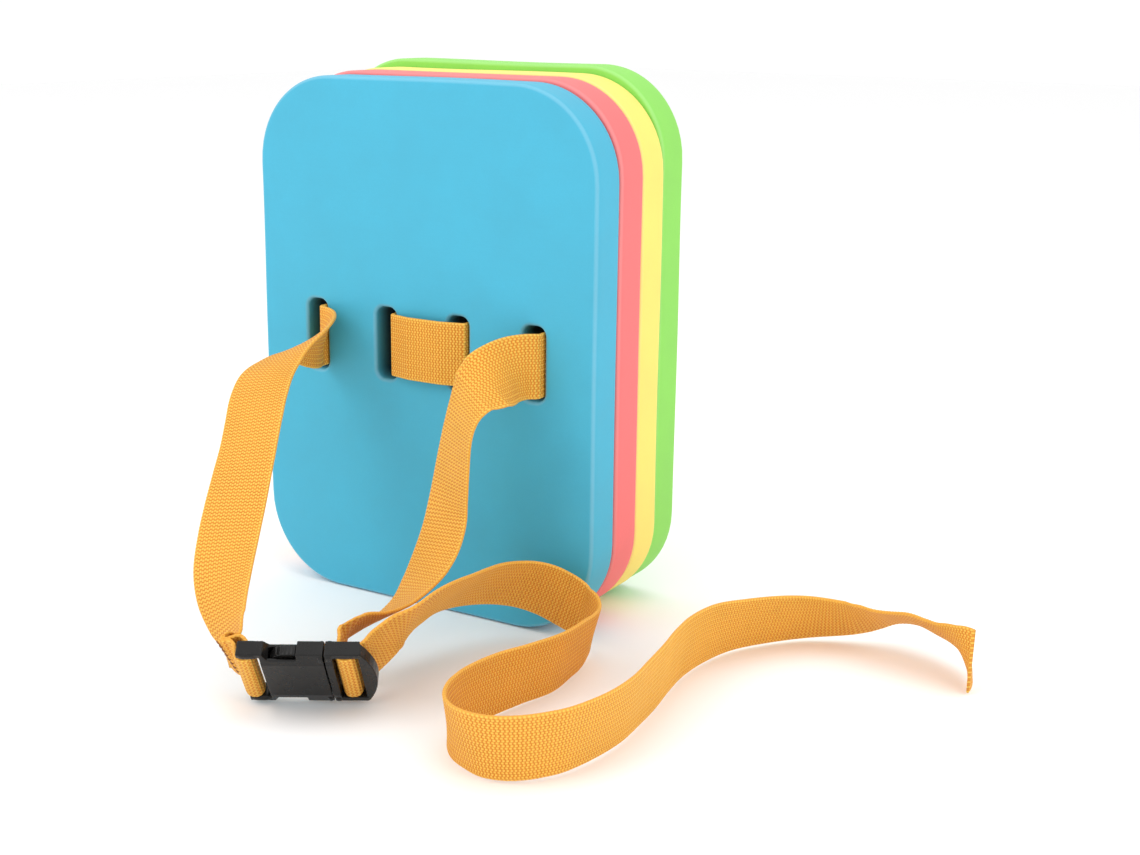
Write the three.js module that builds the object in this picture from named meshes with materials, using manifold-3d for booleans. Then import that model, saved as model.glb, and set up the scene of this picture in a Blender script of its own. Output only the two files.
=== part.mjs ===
// Back float for learning to swim: four foam sheets threaded on one webbing belt, which a side-release
// buckle closes. Millimetres, +Z up. The stack stands upright on its bottom edges, with its front face
// towards -Y. The origin is on the ground, in the middle of the stack's base.
import * as THREE from "three";
import { mergeVertices } from "three/addons/utils/BufferGeometryUtils.js";
import Module from "manifold-3d";

// ---- Driving dimensions ----
const GAP = 0.3; // clearance between touching pieces
const SHEET_WIDTH = 190;
const SHEET_THICKNESS = 20;
const CORNER_RADIUS = 43;
const SHEETS = [
  { name: "foam_sheet_blue", height: 252.5, shift: 0, color: 0x56c8e6, roughness: 0.75 },
  { name: "foam_sheet_coral", height: 254, shift: 0.6, color: 0xfb8f8c, roughness: 0.78 },
  { name: "foam_sheet_yellow", height: 254.8, shift: 0.3, color: 0xffe98a, roughness: 0.78 },
  { name: "foam_sheet_green", height: 258.5, shift: -0.4, color: 0x9be866, roughness: 0.78 },
];
const SLOT_PITCH = 41.5;
const SLOT_WIDTH = 12;
const SLOT_HEIGHT = 35;
const SLOT_CORNER_RADIUS = 4.5;
const SLOT_MIDDLE_Z = 128.3;
const WEBBING_WIDTH = 30;
const WEBBING_THICKNESS = 1.4;
const BRIDGE_BULGE = 3.5; // how far the front bridge bows away from the foam
const TACK_WIDTH = 25; // the stitching that holds the folded end at the buckle
const TACK_HEIGHT = 3;
const TACK_THREAD = 0.8;
const TACK_TURNS = 14;

// Buckle, in its own axes: a along its length from the sewn end, b across it, c through its thickness.
const BUCKLE_PLACE = [10.8, -180.3, 17.6]; // middle of the sewn end
const BUCKLE_TURN = 29; // degrees from +X to the length, seen from above
const BUCKLE_RISE = 1.2; // degrees the plug end is lifted
const BUCKLE_LEAN = 37; // degrees the upper edge leans to the front
const BUCKLE_WIDTH = 37;
const BUCKLE_HALF_THICKNESS = 4.5;
const RAIL_WIDTH = 2.8;
const RAIL_HALF_THICKNESS = 3.4;
const SOCKET_LENGTH = 35.5;
const SOCKET_BAR_RADIUS = 2.2;
const SOCKET_BODY_START = 9.5;
const CAVITY_START = 12;
const CAVITY_HALF_WIDTH = 14.4;
const CAVITY_HALF_HEIGHT = 2.7;
const WINDOW_START = 10;
const WINDOW_END = 24.5;
const WINDOW_DEPTH = 3.6;
const PLUG_START = 36;
const FLANGE_END = 39.2;
const CENTRE_BAR = [41.8, 45.6];
const OUTER_BAR_START = 49.5;
const PLUG_END = 55.6;
const ARM_HALF_THICKNESS = 2.3;
const ARM_PAD_REACH = 17;
const GUIDE_HALF_WIDTH = 3.2;

const STACK_DEPTH = SHEETS.length * SHEET_THICKNESS + (SHEETS.length - 1) * GAP;
const FRONT_Y = -STACK_DEPTH / 2;
const BACK_Y = STACK_DEPTH / 2;
const WEB_CLEAR = WEBBING_THICKNESS / 2 + GAP; // from the webbing's middle to what it lies on
const PLY_PITCH = WEBBING_THICKNESS + 0.5; // between the middles of the plies that are sewn together
const SLOT_CLEAR = WEB_CLEAR + 0.5; // in a slot, whose rounded corners hold the webbing's edges off
const SLOT_X = [-1.5, -0.5, 0.5, 1.5].map((n) => n * SLOT_PITCH + 0.5);

const wasm = await Module();
wasm.setup();

// ---- Materials ----
const FOAM = SHEETS.map(
  (s) => new THREE.MeshStandardMaterial({ color: s.color, roughness: s.roughness }),
);
const WEBBING = new THREE.MeshStandardMaterial({ color: 0xf5a53c, roughness: 0.7 });
const THREAD = new THREE.MeshStandardMaterial({ color: 0xf0902a, roughness: 0.6 });
const BLACK_PLASTIC = new THREE.MeshStandardMaterial({ color: 0x1c1a19, roughness: 0.35 });

// ---- Solids: joining and cutting ----
function solid(geometry) {
  const bare = geometry.index ? geometry.toNonIndexed() : geometry.clone();
  bare.deleteAttribute("normal");
  bare.deleteAttribute("uv");
  const merged = mergeVertices(bare, 1e-4);
  return new wasm.Manifold(
    new wasm.Mesh({
      numProp: 3,
      vertProperties: merged.attributes.position.array,
      triVerts: new Uint32Array(merged.index.array),
    }),
  );
}

function geometryOf(manifold) {
  const mesh = manifold.getMesh();
  const geometry = new THREE.BufferGeometry();
  geometry.setAttribute("position", new THREE.BufferAttribute(new Float32Array(mesh.vertProperties), 3));
  geometry.setIndex(new THREE.BufferAttribute(new Uint32Array(mesh.triVerts), 1));
  geometry.computeVertexNormals();
  return geometry;
}

const union = (parts) => parts.reduce((whole, part) => whole.add(part));

function named(name, geometry, material) {
  const mesh = new THREE.Mesh(geometry, material);
  mesh.name = name;
  return mesh;
}

// A box given by its low and high corners.
function block(low, high) {
  const size = high.map((h, i) => h - low[i]);
  const box = new THREE.BoxGeometry(...size);
  box.translate(...low.map((l, i) => l + size[i] / 2));
  return solid(box);
}

// An outline in the a-b plane, extruded over a range of c.
function slab(points, lowC, highC) {
  const shape = new THREE.Shape(points.map(([a, b]) => new THREE.Vector2(a, b)));
  const plate = new THREE.ExtrudeGeometry(shape, { depth: highC - lowC, bevelEnabled: false });
  plate.translate(0, 0, lowC);
  return solid(plate);
}

// ---- Foam sheets ----
function roundedRectangle(path, centreX, centreZ, width, height, radius) {
  const left = centreX - width / 2;
  const right = centreX + width / 2;
  const low = centreZ - height / 2;
  const high = centreZ + height / 2;
  const quarter = Math.PI / 2;
  path.moveTo(left + radius, low);
  path.lineTo(right - radius, low);
  path.absarc(right - radius, low + radius, radius, -quarter, 0);
  path.lineTo(right, high - radius);
  path.absarc(right - radius, high - radius, radius, 0, quarter);
  path.lineTo(left + radius, high);
  path.absarc(left + radius, high - radius, radius, quarter, 2 * quarter);
  path.lineTo(left, low + radius);
  path.absarc(left + radius, low + radius, radius, 2 * quarter, 3 * quarter);
  return path;
}

function foamSheet(sheet, index) {
  const shape = roundedRectangle(
    new THREE.Shape(), sheet.shift, sheet.height / 2, SHEET_WIDTH, sheet.height, CORNER_RADIUS,
  );
  for (const x of SLOT_X) {
    shape.holes.push(
      roundedRectangle(
        new THREE.Path(), x, SLOT_MIDDLE_Z, SLOT_WIDTH, SLOT_HEIGHT, SLOT_CORNER_RADIUS,
      ),
    );
  }
  const sheetGeometry = new THREE.ExtrudeGeometry(shape, {
    depth: SHEET_THICKNESS,
    bevelEnabled: false,
    curveSegments: 7,
  });
  sheetGeometry.rotateX(Math.PI / 2);
  const backY = FRONT_Y + index * (SHEET_THICKNESS + GAP) + SHEET_THICKNESS;
  sheetGeometry.translate(0, backY, 0);
  return named(sheet.name, geometryOf(solid(sheetGeometry)), FOAM[index]);
}

// ---- Buckle frame ----
const buckleFrame = new THREE.Matrix4();
{
  const turn = THREE.MathUtils.degToRad(BUCKLE_TURN);
  const rise = THREE.MathUtils.degToRad(BUCKLE_RISE);
  const lean = THREE.MathUtils.degToRad(BUCKLE_LEAN);
  const length = new THREE.Vector3(
    Math.cos(turn) * Math.cos(rise), Math.sin(turn) * Math.cos(rise), Math.sin(rise),
  );
  const facing = new THREE.Vector3(Math.sin(turn), -Math.cos(turn), 0);
  const upright = new THREE.Vector3().crossVectors(facing, length);
  const across = upright.clone().multiplyScalar(Math.cos(lean));
  across.addScaledVector(facing, Math.sin(lean));
  const through = new THREE.Vector3().crossVectors(length, across);
  buckleFrame.makeBasis(length, across, through);
  buckleFrame.setPosition(...BUCKLE_PLACE);
}
const BUCKLE_ACROSS = new THREE.Vector3().setFromMatrixColumn(buckleFrame, 1);
const atBuckle = (a, b, c) => new THREE.Vector3(a, b, c).applyMatrix4(buckleFrame);

// ---- Webbing ----
// A flat strip swept through stations, each with its middle, its heading and the way its width lies.
function strip(stations, width = WEBBING_WIDTH, thickness = WEBBING_THICKNESS) {
  const positions = [];
  const faces = [];
  stations.forEach((station, i) => {
    const { across, up } = crossAxes(station);
    for (const [s, t] of [[-1, -1], [1, -1], [1, 1], [-1, 1]]) {
      const corner = station.at.clone();
      corner.addScaledVector(across, (s * width) / 2).addScaledVector(up, (t * thickness) / 2);
      positions.push(corner.x, corner.y, corner.z);
    }
    if (i > 0) {
      const now = 4 * i;
      const last = now - 4;
      for (let k = 0; k < 4; k++) {
        const next = (k + 1) % 4;
        faces.push(last + k, last + next, now + next, last + k, now + next, now + k);
      }
    }
  });
  const end = positions.length / 3 - 4;
  faces.push(0, 2, 1, 0, 3, 2, end, end + 1, end + 2, end, end + 2, end + 3);
  const geometry = new THREE.BufferGeometry();
  geometry.setAttribute("position", new THREE.Float32BufferAttribute(positions, 3));
  geometry.setIndex(faces);
  return geometryOf(solid(geometry));
}

// A station's width direction, squared to its heading, and its face direction.
function crossAxes({ heading, across }) {
  const square = across.clone().addScaledVector(heading, -across.dot(heading)).normalize();
  return { across: square, up: new THREE.Vector3().crossVectors(heading, square) };
}

// Stations on a smooth curve through a hand-laid route of [x, y, z, across x, across y, across z]: two in
// each short stretch, where the route turns tightly, and one every 7 mm or so in a long one.
function along(route) {
  const points = route.map((p) => new THREE.Vector3(...p.slice(0, 3)));
  const widths = route.map((p) => new THREE.Vector3(...p.slice(3)).normalize());
  const centre = new THREE.CatmullRomCurve3(points);
  const across = new THREE.CatmullRomCurve3(widths, false, "catmullrom", 0.5);
  const spans = route.length - 1;
  const stations = [];
  for (let span = 0; span < spans; span++) {
    const steps = Math.max(2, Math.round(points[span].distanceTo(points[span + 1]) / 7));
    for (let i = 0; i < steps; i++) {
      const t = (span + i / steps) / spans;
      stations.push({
        at: centre.getPoint(t), heading: centre.getTangent(t), across: across.getPoint(t), span,
      });
    }
  }
  stations.push({
    at: points[spans].clone(), heading: centre.getTangent(1), across: widths[spans].clone(), span: spans,
  });
  return stations;
}

// A route in the buckle's own a-c plane: the strip lies square across the buckle.
const inBuckle = (pairs) =>
  pairs.map(([a, c]) => [...atBuckle(a, 0, c).toArray(), ...BUCKLE_ACROSS.toArray()]);

// The route of an outer ply that runs back over the last few points of a route.
function foldedBack(route, count) {
  const stations = along(route).filter((station, i, all) => station.span !== all[i - 1]?.span);
  return stations.reverse().slice(0, count).map((station) => {
    const { across, up } = crossAxes(station);
    return [...station.at.addScaledVector(up, PLY_PITCH).toArray(), ...across.toArray()];
  });
}

// A level route round the foam: corners are turned on a small radius, at four steps each.
function levelStations(corners, radius) {
  const across = new THREE.Vector3(0, 0, 1);
  const points = corners.map(([x, y]) => new THREE.Vector3(x, y, SLOT_MIDDLE_Z));
  const toward = (i, j) => points[j].clone().sub(points[i]).normalize();
  const last = points.length - 1;
  const stations = [{ at: points[0], heading: toward(0, 1), across }];
  for (let i = 1; i < last; i++) {
    const back = toward(i, i - 1);
    const on = toward(i, i + 1);
    const inset = Math.min(radius / Math.tan(back.angleTo(on) / 2), 4);
    const bend = new THREE.QuadraticBezierCurve3(
      points[i].clone().addScaledVector(back, inset),
      points[i],
      points[i].clone().addScaledVector(on, inset),
    );
    for (let step = 0; step <= 4; step++) {
      stations.push({ at: bend.getPoint(step / 4), heading: bend.getTangent(step / 4), across });
    }
  }
  stations.push({ at: points[last], heading: toward(last - 1, last), across });
  return stations;
}

// Where the webbing lies: against the right wall of each slot at the front.
const [RIGHT_WALL_1, RIGHT_WALL_2, RIGHT_WALL_3, RIGHT_WALL_4] = SLOT_X.map(
  (x) => x + SLOT_WIDTH / 2 - SLOT_CLEAR,
);
const LEFT_WALL_2 = SLOT_X[1] - SLOT_WIDTH / 2 + SLOT_CLEAR;
const LEFT_WALL_4 = SLOT_X[3] - SLOT_WIDTH / 2 + SLOT_CLEAR;
const BACK_RUN_Y = BACK_Y + WEB_CLEAR + 0.15;
const FRONT_RUN_Y = FRONT_Y - WEB_CLEAR - 0.15;
const SLOT_MOUTH_Y = FRONT_Y + 4; // where the loose straps meet the threaded run

const BRIDGE_MIDDLE_X = (RIGHT_WALL_2 + RIGHT_WALL_3) / 2;
const THREADED_CORNERS = [
  [RIGHT_WALL_1, SLOT_MOUTH_Y + GAP],
  [RIGHT_WALL_1, BACK_RUN_Y],
  [LEFT_WALL_2, BACK_RUN_Y],
  [RIGHT_WALL_2, FRONT_RUN_Y],
  [BRIDGE_MIDDLE_X - 9, FRONT_RUN_Y - 0.85 * BRIDGE_BULGE],
  [BRIDGE_MIDDLE_X + 9, FRONT_RUN_Y - 0.85 * BRIDGE_BULGE],
  [RIGHT_WALL_3, FRONT_RUN_Y],
  [RIGHT_WALL_3, BACK_RUN_Y],
  [LEFT_WALL_4, BACK_RUN_Y],
  [RIGHT_WALL_4, SLOT_MOUTH_Y + GAP],
];

// Left strap: out of the first slot, over and down to the buckle, through the socket's slot, round its bar
// and back along itself, where it is sewn down.
const LEFT_STRAP = [
  [RIGHT_WALL_1, SLOT_MOUTH_Y, SLOT_MIDDLE_Z, 0, 0, 1],
  [RIGHT_WALL_1, SLOT_MOUTH_Y - 3, SLOT_MIDDLE_Z, 0, 0, 1],
  [RIGHT_WALL_1, SLOT_MOUTH_Y - 6.5, SLOT_MIDDLE_Z, 0, 0, 1],
  [-52.5, -47.6, 128.5, 0.11, 0.15, 0.98],
  [-47.5, -54.8, 129.2, 0.37, 0.23, 0.9],
  [-44.6, -64.6, 130.1, 0.7, 0.07, 0.71],
  [-44.3, -75.8, 129.8, 0.89, -0.28, 0.37],
  [-45.2, -88, 125.2, 0.95, -0.3, 0.11],
  [-44.5, -98.1, 120.3, 1, -0.04, 0.05],
  [-41.4, -107.3, 113.3, 1, 0.07, 0.04],
  [-37.1, -116.1, 104.3, 1, 0.07, 0.05],
  [-32.9, -125.1, 93.9, 0.99, 0.09, 0.07],
  [-29.3, -133.4, 84.8, 0.99, 0.14, 0.06],
  [-25.4, -142.7, 73.8, 0.98, 0.21, 0.07],
  [-21.2, -152.1, 63, 0.97, 0.22, 0.1],
  [-16.4, -161.2, 52, 0.97, 0.18, 0.18],
  [-11, -167.7, 41.8, 0.95, 0.01, 0.31],
  [-5.4, -171.6, 32.6, 0.89, -0.23, 0.4],
  [-0.4, -174.2, 25.5, 0.72, -0.46, 0.52],
  [0.5, -176.8, 23.1, 0.39, -0.58, 0.71],
  [2.5, -177.3, 22, 0.27, -0.6, 0.75],
];
const SOCKET_WRAP = [
  [-0.2, -8.2],
  [3.4, -4.6],
  [5.4, -2],
  [5.6, 0.8],
  [4.4, 2.9],
  [2.2, 3.4],
  [0.1, 2.6],
  [-1.1, 0.7],
  [-1.6, -1.6],
  [-3.2, -5.2],
];

// Adjusting strap: out of the last slot, twisting down behind the plug, up through its inner slot, over its
// centre bar, down through its outer slot, and on as the first stretch of the loose end.
const RIGHT_STRAP = [
  [RIGHT_WALL_4, SLOT_MOUTH_Y, SLOT_MIDDLE_Z, 0, 0, -1],
  [RIGHT_WALL_4, SLOT_MOUTH_Y - 3, SLOT_MIDDLE_Z, 0, 0, -1],
  [RIGHT_WALL_4, SLOT_MOUTH_Y - 6.5, SLOT_MIDDLE_Z, 0, 0, -1],
  [63.7, -48, 128.6, 0.06, 0.03, -1],
  [60.6, -54.6, 128.2, 0.23, 0.04, -0.97],
  [59.3, -62.6, 127.1, 0.47, -0.05, -0.88],
  [57.5, -70.4, 125, 0.69, -0.22, -0.68],
  [54.2, -75.1, 121.3, 0.8, -0.4, -0.45],
  [51.5, -76.9, 116, 0.81, -0.51, -0.28],
  [49.5, -78, 110, 0.82, -0.55, -0.18],
  [47.9, -79, 102.3, 0.84, -0.54, -0.09],
  [46.5, -80.1, 90.3, 0.87, -0.48, -0.04],
  [45.3, -82.8, 70.9, 0.92, -0.39, -0.05],
  [45.5, -86.2, 61.2, 0.95, -0.32, 0.06],
  [45.4, -91.4, 52.3, 0.95, -0.31, 0.09],
  [44.9, -97.3, 45.2, 0.92, -0.36, 0.12],
  [43.7, -103.5, 39.1, 0.88, -0.43, 0.2],
  [42.1, -110.8, 33.4, 0.83, -0.46, 0.33],
  [39.8, -121, 29.5, 0.83, -0.33, 0.46],
  [39, -135.1, 28.8, 0.81, -0.07, 0.58],
  [39, -147.9, 28.7, 0.64, -0.02, 0.77],
];
const PLUG_WRAP = [
  [40.7, -12.5],
  [40.5, -9],
  [40.5, -6],
  [40.5, -2.5],
  [40.7, 1],
  [42, 2.8],
  [43.8, 3.1],
  [46, 2.6],
  [47.2, 0.6],
  [47.5, -1.8],
  [48.9, -3.8],
  [51, -6],
  [53, -9],
];
const NEAR_TAIL = [
  [55.2, -144.3, 27, 0.29, -0.52, 0.8],
  [57.5, -140, 30.3, 0.39, -0.4, 0.83],
  [60.3, -134.3, 33.1, 0.52, -0.26, 0.81],
  [61.6, -125.1, 36.3, 0.59, -0.13, 0.8],
  [61.5, -113.7, 37.2, 0.64, -0.04, 0.77],
  [61, -101.6, 37, 0.69, 0, 0.73],
  [61, -89.5, 36, 0.67, 0, 0.74],
  [62.2, -77.9, 34.5, 0.62, -0.04, 0.78],
  [65.6, -67, 32.5, 0.57, -0.09, 0.82],
  [71, -58, 30, 0.5, -0.12, 0.86],
  [78, -52.5, 27, 0.43, -0.12, 0.89],
];

// Loose end: an S on edge along the ground, leaning back and up again towards its cut end.
const LOOSE_TAIL = [
  [86, -50, 23.5, 0.37, -0.12, 0.92],
  [92, -49.5, 21, 0.3, -0.14, 0.94],
  [98, -50.5, 18.5, 0.24, -0.18, 0.95],
  [104.5, -55, 17, 0.24, -0.14, 0.96],
  [108, -61.5, 15.5, 0.28, -0.02, 0.96],
  [110.2, -70, 14.9, 0.28, 0.03, 0.96],
  [111.2, -79, 15.1, 0.26, 0.03, 0.96],
  [112, -97.5, 15.2, 0.22, -0.01, 0.97],
  [107.5, -115.5, 15.4, 0.22, -0.02, 0.98],
  [102.5, -133, 15.4, 0.15, -0.01, 0.99],
  [100.5, -151.5, 15.6, 0.14, 0, 0.99],
  [102, -160.5, 15.7, 0.11, -0.02, 0.99],
  [105.5, -168.5, 15.7, 0.03, -0.08, 1],
  [111.5, -176, 15.6, -0.04, -0.18, 0.98],
  [119, -180.5, 15.4, -0.05, -0.24, 0.97],
  [128, -182.5, 15.4, 0, -0.23, 0.97],
  [137, -180.5, 15.4, 0.05, -0.21, 0.98],
  [144.5, -175.5, 15.5, 0.1, -0.17, 0.98],
  [150.5, -168.5, 15.6, 0.14, -0.13, 0.98],
  [155, -160.5, 15.6, 0.17, -0.09, 0.98],
  [159.5, -142.5, 15.6, 0.2, -0.03, 0.98],
  [160.5, -124.5, 15.5, 0.18, 0, 0.98],
  [158.5, -106, 15.5, 0.15, 0.01, 0.99],
  [156, -88, 15.5, 0.13, 0.02, 0.99],
  [152.5, -69.5, 15.5, 0.13, 0.01, 0.99],
  [150.5, -51.5, 15.5, 0.15, 0, 0.99],
  [152, -33, 15.4, 0.2, -0.04, 0.98],
  [158, -16, 15, 0.31, -0.15, 0.94],
  [168, -0.5, 14.6, 0.31, -0.27, 0.91],
  [181, 12, 14.4, 0.23, -0.46, 0.86],
  [197.5, 19, 15.2, 0.07, -0.66, 0.75],
  [206.5, 20.5, 17, -0.02, -0.78, 0.62],
  [214.5, 21, 18.8, -0.05, -0.88, 0.47],
  [223.5, 20.5, 20, -0.1, -0.89, 0.45],
  [232.5, 18.5, 20, -0.15, -0.83, 0.54],
  [241.5, 15.5, 19, -0.2, -0.78, 0.59],
  [249.5, 11, 17.5, -0.2, -0.68, 0.7],
  [256, 4.5, 16, -0.05, -0.46, 0.89],
  [261, -1.5, 15.6, 0.14, -0.16, 0.98],
];

function webbing() {
  const threaded = levelStations(THREADED_CORNERS, 1.2);
  const left = along([...LEFT_STRAP, ...inBuckle(SOCKET_WRAP), ...foldedBack(LEFT_STRAP.slice(-3), 2)]);
  const rightRoute = [...RIGHT_STRAP, ...inBuckle(PLUG_WRAP), ...NEAR_TAIL];
  const right = along([...rightRoute, ...LOOSE_TAIL]);
  const cut = right.findIndex((station) => station.span === rightRoute.length);
  const adjusting = right.slice(0, cut + 1);
  const tail = right.slice(cut);
  tail[0] = { ...tail[0], at: tail[0].at.clone().addScaledVector(tail[0].heading, GAP) };
  return [
    named("webbing_threaded_run", strip(threaded), WEBBING),
    named("webbing_left_strap", strip(left), WEBBING),
    named("loop_stitching", barTack(left.at(-2), left.at(-3)), THREAD),
    named("webbing_adjusting_strap", strip(adjusting), WEBBING),
    named("webbing_loose_tail", strip(tail), WEBBING),
  ];
}

// The thread that holds a folded end down: a zigzag across the webbing, on the outer ply's face.
function barTack(station, next) {
  const share = TACK_HEIGHT / station.at.distanceTo(next.at);
  const far = {
    at: station.at.clone().lerp(next.at, share),
    heading: station.heading.clone().lerp(next.heading, share).normalize(),
    across: station.across.clone().lerp(next.across, share),
  };
  const lift = -(WEBBING_THICKNESS / 2 + 2 * GAP + TACK_THREAD / 2);
  const stations = [];
  for (let i = 0; i <= TACK_TURNS; i++) {
    const side = i % 2 ? station : far;
    const { across, up } = crossAxes(side);
    const at = side.at.clone().addScaledVector(across, (i / TACK_TURNS - 0.5) * TACK_WIDTH);
    stations.push({ at: at.addScaledVector(up, lift), heading: across, across: side.heading });
  }
  return strip(stations, TACK_THREAD, TACK_THREAD / 2);
}

// ---- Buckle ----
// The buckle's body section: flat faces that slope to thinner edges, run along its length.
function bodySection(startA, endA) {
  const w = BUCKLE_WIDTH / 2;
  const t = BUCKLE_HALF_THICKNESS;
  const e = RAIL_HALF_THICKNESS;
  const outline = [
    [-w, -e], [-12, -t], [12, -t], [w, -e], [w, e], [12, t], [-12, t], [-w, e],
  ];
  const shape = new THREE.Shape(outline.map(([b, c]) => new THREE.Vector2(b, c)));
  const run = new THREE.ExtrudeGeometry(shape, { depth: endA - startA, bevelEnabled: false });
  run.applyMatrix4(new THREE.Matrix4().makeBasis(
    new THREE.Vector3(0, 1, 0), new THREE.Vector3(0, 0, 1), new THREE.Vector3(1, 0, 0),
  ));
  run.translate(startA, 0, 0);
  return solid(run);
}

// An outline in the a-c plane, run across the buckle.
function acrossSection(outline, halfWidth) {
  const shape = new THREE.Shape(outline.map(([a, c]) => new THREE.Vector2(a, c)));
  const run = new THREE.ExtrudeGeometry(shape, { depth: 2 * halfWidth, bevelEnabled: false });
  run.rotateX(Math.PI / 2);
  run.translate(0, halfWidth, 0);
  return solid(run);
}

// A plain box across the buckle: a from..to, b from..to, c from..to.
const bar = (a, b, c) => block([a[0], b[0], c[0]], [a[1], b[1], c[1]]);
const bothSides = (make) => union([make(1), make(-1)]);
const sideRange = (side, near, far) => (side > 0 ? [near, far] : [-far, -near]);

function rails(startA, endA) {
  const inner = BUCKLE_WIDTH / 2 - RAIL_WIDTH;
  const c = [-RAIL_HALF_THICKNESS, RAIL_HALF_THICKNESS];
  return bothSides((side) => bar([startA, endA], sideRange(side, inner, BUCKLE_WIDTH / 2), c));
}

function socketSolid() {
  const inner = BUCKLE_WIDTH / 2 - RAIL_WIDTH;
  const roundBar = new THREE.CylinderGeometry(SOCKET_BAR_RADIUS, SOCKET_BAR_RADIUS, 2 * inner + 2, 16);
  roundBar.translate(SOCKET_BAR_RADIUS, 0, 0);
  const outside = union([
    bodySection(SOCKET_BODY_START, SOCKET_LENGTH), rails(0, SOCKET_BODY_START + 1), solid(roundBar),
  ]);
  const cavity = bar(
    [CAVITY_START, SOCKET_LENGTH + 1],
    [-CAVITY_HALF_WIDTH, CAVITY_HALF_WIDTH],
    [-CAVITY_HALF_HEIGHT, CAVITY_HALF_HEIGHT],
  );
  const windows = bothSides((side) => {
    const edge = side * BUCKLE_WIDTH / 2;
    const floor = edge - side * WINDOW_DEPTH;
    const beyond = edge + side;
    const outline = [
      [WINDOW_START, beyond], [WINDOW_START + 2.5, floor], [WINDOW_END, floor], [WINDOW_END, beyond],
    ];
    return slab(side > 0 ? outline : outline.reverse(), -6, 6);
  });
  const sideDoors = bothSides((side) =>
    bar(
      [CAVITY_START + 0.6, WINDOW_END],
      sideRange(side, CAVITY_HALF_WIDTH - 0.5, BUCKLE_WIDTH / 2 + 1),
      [-CAVITY_HALF_HEIGHT, CAVITY_HALF_HEIGHT],
    ),
  );
  return outside.subtract(cavity).subtract(windows).subtract(sideDoors);
}

function plugSolid() {
  const w = BUCKLE_WIDTH / 2;
  const inner = w - RAIL_WIDTH;
  const endCurve = new THREE.QuadraticBezierCurve(
    new THREE.Vector2(OUTER_BAR_START + 1, -w),
    new THREE.Vector2(2 * PLUG_END - OUTER_BAR_START - 1, 0),
    new THREE.Vector2(OUTER_BAR_START + 1, w),
  );
  const outerBar = [
    [OUTER_BAR_START, -w],
    ...endCurve.getPoints(10).map((p) => [p.x, p.y]),
    [OUTER_BAR_START, w],
  ];
  const [barStart, barEnd] = CENTRE_BAR;
  const centreBar = [
    [barStart, -0.6], [barStart + 1, -1.7], [barEnd - 1, -1.7], [barEnd, -0.6],
    [barEnd, 0.7], [barEnd - 1, 1.8], [barStart + 1, 1.8], [barStart, 0.7],
  ];
  const guide = bar(
    [CAVITY_START + 2, PLUG_START + 1], [-GUIDE_HALF_WIDTH, GUIDE_HALF_WIDTH], [-1.6, 1.6],
  );
  return union([
    bodySection(PLUG_START, FLANGE_END),
    rails(FLANGE_END - 1, OUTER_BAR_START + 0.5),
    acrossSection(centreBar, inner + 1),
    slab(outerBar, -2.1, RAIL_HALF_THICKNESS - 0.4),
    guide,
  ]);
}

// A release arm: a slender beam from the plug's shoulder to a ridged thumb pad, whose step catches behind the
// socket's mouth.
function armSolid(side) {
  const root = PLUG_START - GAP;
  const latch = WINDOW_END - GAP;
  const neck = CAVITY_HALF_WIDTH - GAP;
  const pad = ARM_PAD_REACH;
  const outline = [
    [root, 8.6],
    [root, 11.6],
    [root - 3, neck - 0.6],
    [latch, neck],
    [latch, pad],
    [latch - 1, pad + 0.3],
    [latch - 6, pad],
    [latch - 9, pad - 1.6],
    [CAVITY_START + 1.2, 13.4],
    [CAVITY_START + 1.2, 11.8],
    [latch - 1, 11.4],
    [root - 3, 9.8],
  ].map(([a, b]) => [a, side * b]);
  return slab(side > 0 ? outline.reverse() : outline, -ARM_HALF_THICKNESS, ARM_HALF_THICKNESS);
}

const moulded = (name, manifold) => named(name, geometryOf(manifold), BLACK_PLASTIC);

function buckle() {
  const group = new THREE.Group();
  group.applyMatrix4(buckleFrame);
  group.add(
    moulded("buckle_socket", socketSolid()),
    moulded("buckle_plug", plugSolid()),
    moulded("release_arm_upper", armSolid(1)),
    moulded("release_arm_lower", armSolid(-1)),
  );
  return group;
}

// ---- Assembly ----
const backFloat = new THREE.Group();
SHEETS.forEach((sheet, index) => backFloat.add(foamSheet(sheet, index)));
backFloat.add(...webbing());
backFloat.add(buckle());

export default backFloat;
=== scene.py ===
"""Back float for learning to swim: four foam sheets threaded on a webbing belt with a side-release buckle.

Lengths are in millimetres in the CAD's frame where a shape is worked out, and become metres in its
mesh. Properties, lights, materials and the camera are in metres.
"""

import math

import bmesh
import bpy
import numpy as np
from bpy.props import FloatProperty, FloatVectorProperty, IntProperty, PointerProperty
from mathutils import Matrix


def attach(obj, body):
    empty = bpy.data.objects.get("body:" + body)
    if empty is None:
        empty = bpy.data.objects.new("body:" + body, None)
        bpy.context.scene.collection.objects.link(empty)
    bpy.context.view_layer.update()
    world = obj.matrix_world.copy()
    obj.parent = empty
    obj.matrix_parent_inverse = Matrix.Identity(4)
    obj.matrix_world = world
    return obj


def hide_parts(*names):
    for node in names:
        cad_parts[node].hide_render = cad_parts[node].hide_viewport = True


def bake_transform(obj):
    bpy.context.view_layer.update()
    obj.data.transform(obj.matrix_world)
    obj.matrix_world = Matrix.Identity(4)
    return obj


bl_info = {
    "name": "Back Float",
    "version": (1, 0, 0),
    "blender": (4, 5, 0),
    "location": "3D View > Sidebar > Back Float",
    "description": "Foam back float on a webbing belt with a side-release buckle",
    "category": "Add Mesh",
}

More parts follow.
